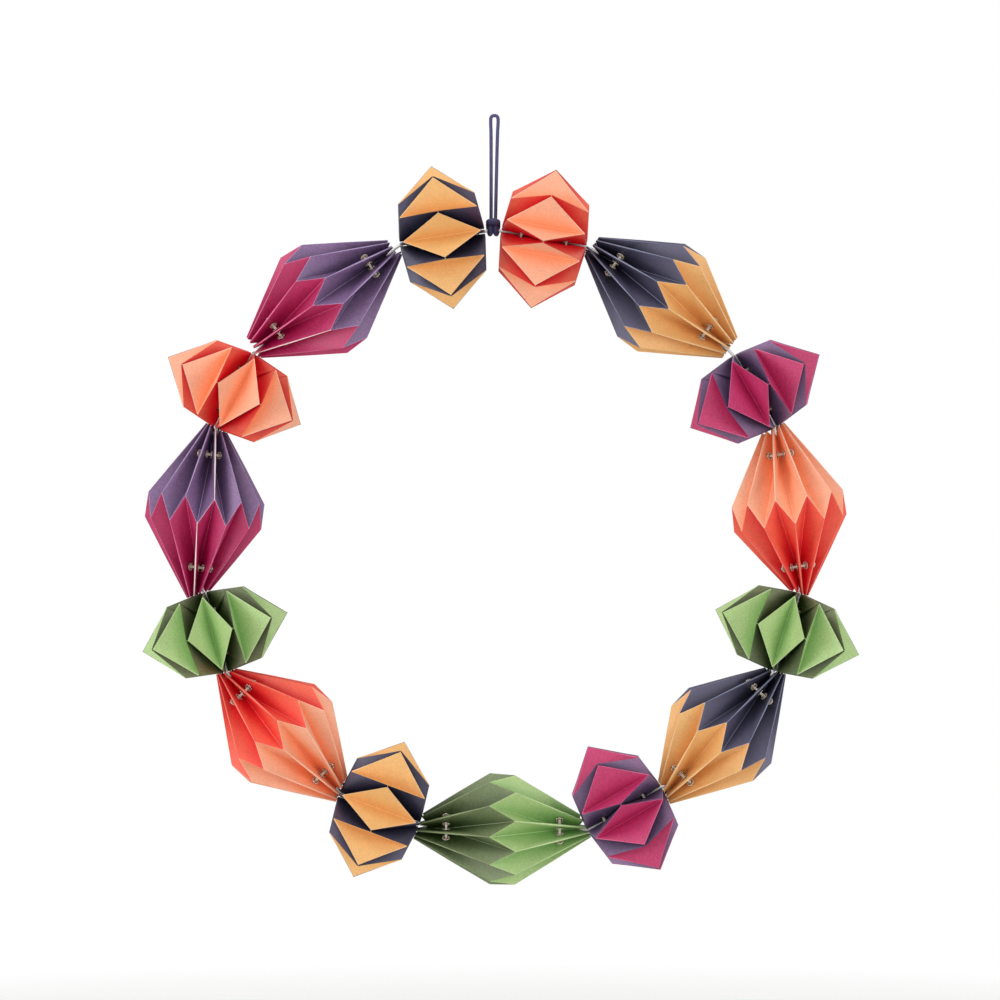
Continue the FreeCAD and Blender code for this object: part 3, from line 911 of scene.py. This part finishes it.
# Soft lamps on both sides, and weaker ones high and low on the left and from above.
# bearing: degrees from straight in front, positive to the right.  height:
# degrees above level.  power: watts.
Lamp = namedtuple("Lamp", "name bearing height power")
LAMPS = (
    Lamp("left", -50, 0, 13.5),
    Lamp("right", 50, 0, 12),
    Lamp("high_left", -60, 40, 8),
    Lamp("low_left", -60, -40, 6),
    Lamp("top", 0, 75, 6),
)


def add_world():
    """Even light from all round, plain white where it is seen, mirrored or seen through."""
    world = bpy.data.worlds.new("studio")
    world.use_nodes = True
    tree = world.node_tree
    light = tree.nodes["Background"]
    light.inputs["Color"].default_value = WHITE
    light.inputs["Strength"].default_value = sky_strength
    backdrop = tree.nodes.new("ShaderNodeBackground")
    backdrop.inputs["Color"].default_value = WHITE
    path = tree.nodes.new("ShaderNodeLightPath")
    seen = path.outputs["Is Camera Ray"]
    for ray in ("Is Glossy Ray", "Is Transmission Ray"):
        either = tree.nodes.new("ShaderNodeMath")
        either.operation = "MAXIMUM"
        tree.links.new(seen, either.inputs[0])
        tree.links.new(path.outputs[ray], either.inputs[1])
        seen = either.outputs[0]
    mix = tree.nodes.new("ShaderNodeMixShader")
    tree.links.new(seen, mix.inputs["Fac"])
    tree.links.new(light.outputs[0], mix.inputs[1])
    tree.links.new(backdrop.outputs[0], mix.inputs[2])
    tree.links.new(mix.outputs[0], tree.nodes["World Output"].inputs["Surface"])
    bpy.context.scene.world = world


def add_floor():
    """A pale round floor under the wreath, fading into the white round it."""
    nodes = Nodes("floor")
    nodes.set(Base_Color=srgb(*FLOOR_COLOUR), Roughness=floor_roughness)
    clear = nodes.add("BsdfTransparent").outputs[0]
    away = nodes.add("VectorMath", {0: nodes.place()}, operation="LENGTH").outputs["Value"]
    fade = nodes.ranged(away, 0.0, 1.0, floor_radius / 2, floor_radius)
    mixed = nodes.add("MixShader", {0: fade, 1: nodes.shader.outputs[0], 2: clear})
    output = nodes.tree.nodes["Material Output"]
    nodes.tree.links.new(mixed.outputs[0], output.inputs["Surface"])
    turns = [tau * step / floor_points for step in range(floor_points)]
    rim = [(floor_radius * cos(turn), floor_radius * sin(turn), 0) for turn in turns]
    mesh = bpy.data.meshes.new("floor")
    mesh.from_pydata(rim, [], [list(range(floor_points))])
    mesh.materials.append(nodes.material)
    floor = bpy.data.objects.new("floor", mesh)
    floor.location = (0, 0, cad_low[2] - floor_drop)
    bpy.context.scene.collection.objects.link(floor)


def add_lamp(lamp):
    """A round soft lamp aimed at the wreath's middle."""
    data = bpy.data.lights.new(lamp.name, "AREA")
    data.shape = "DISK"
    data.size = lamp_size
    data.energy = lamp.power
    bearing = radians(lamp.bearing)
    height = radians(lamp.height)
    away = V((sin(bearing) * cos(height), -cos(bearing) * cos(height), sin(height)))
    piece = bpy.data.objects.new(lamp.name, data)
    piece.location = WREATH_MIDDLE + away * lamp_distance
    piece.rotation_euler = away.to_track_quat("Z", "Y").to_euler()
    bpy.context.scene.collection.objects.link(piece)


add_world()
add_floor()
for lamp in LAMPS:
    add_lamp(lamp)
bpy.context.scene.view_settings.view_transform = "Standard"
